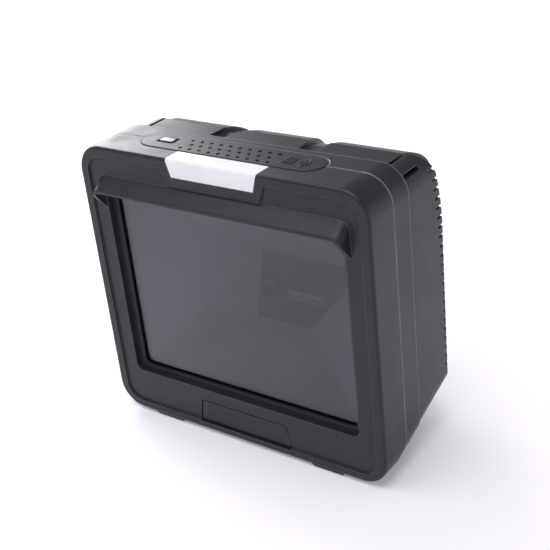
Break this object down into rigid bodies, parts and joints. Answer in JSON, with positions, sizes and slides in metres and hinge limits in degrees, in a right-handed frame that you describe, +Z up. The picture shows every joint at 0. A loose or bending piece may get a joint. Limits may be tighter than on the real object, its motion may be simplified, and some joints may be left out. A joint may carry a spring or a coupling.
{
  "type": "presentation barcode scanner",
  "caption": "Upright counter-top barcode scanner: black ribbed case, large tinted window under a visor, white indicator lens, speaker grille and a small function key.",
  "frame": {"origin": "centre of the bounding box at the level of the feet", "axes": "+X along the width, to the right seen from in front; +Y from the window towards the ribbed back; +Z up"},
  "size_m": [0.15, 0.0794, 0.1374],
  "materials": {
    "case_plastic": "fine-textured charcoal ABS",
    "panel_plastic": "fine-grained black ABS",
    "key_plastic": "glossy black key",
    "frame_plastic": "dark grey satin plastic",
    "window": "smoke-tinted flat glass",
    "white_lens": "milky white light-guide plastic",
    "funnel_plastic": "light grey satin plastic",
    "black_plastic": "matt black plastic",
    "clear_lens": "coated camera lens",
    "circuit_board": "green solder mask",
    "chip_black": "moulded chip packages",
    "led_white": "LED packages",
    "diffuser": "translucent strip",
    "connector_white": "nylon headers",
    "contact_metal": "gold-plated spring wire",
    "ribbon_white": "flat flexible cable",
    "brass_insert": "knurled brass",
    "screw_steel": "zinc-plated steel",
    "rubber": "black rubber",
    "speaker_cloth": "black acoustic cloth",
    "speaker_paper": "pressed paper cone",
    "magnet": "plated magnet cup",
    "label_film": "blank silver-grey film"
  },
  "bodies": {
    "case": {"front_bezel": "case_plastic", "middle_shell": "case_plastic", "rear_cover": "case_plastic", "window_frame": "frame_plastic", "window_gasket": "rubber", "window_glass": "window", "optical_funnel": "funnel_plastic", "camera_housing": "black_plastic", "lens_barrel": "black_plastic", "camera_lens": "clear_lens", "image_sensor": "chip_black", "sensor_board": "circuit_board", "lamp_board": "circuit_board", "lamp_leds": "led_white", "lamp_diffuser": "diffuser", "indicator_lens": "white_lens", "indicator_board": "circuit_board", "indicator_leds": "led_white", "top_panel": "panel_plastic", "button_switch": "chip_black", "button_board": "circuit_board", "speaker_mesh": "speaker_cloth", "speaker_basket": "black_plastic", "speaker_cone": "speaker_paper", "speaker_magnet": "magnet", "main_board": "circuit_board", "board_chips": "chip_black", "board_connectors": "connector_white", "interface_socket": "black_plastic", "socket_contacts": "contact_metal", "ribbon_cable": "ribbon_white", "mount_inserts": "brass_insert", "case_screws": "screw_steel", "funnel_screws": "screw_steel", "board_screws": "screw_steel", "front_feet": "rubber", "rear_feet": "rubber", "rating_label": "label_film"},
    "function_key": {"function_button": "key_plastic", "switch_plunger": "black_plastic"}
  },
  "joints": [
    {"name": "button_press", "type": "slide", "parent": "case", "child": "function_key", "axis": [0, 0, -1], "range_m": [0, 0.0006], "stiffness_N_per_m": 1500, "springref_m": -0.0004}
  ]
}
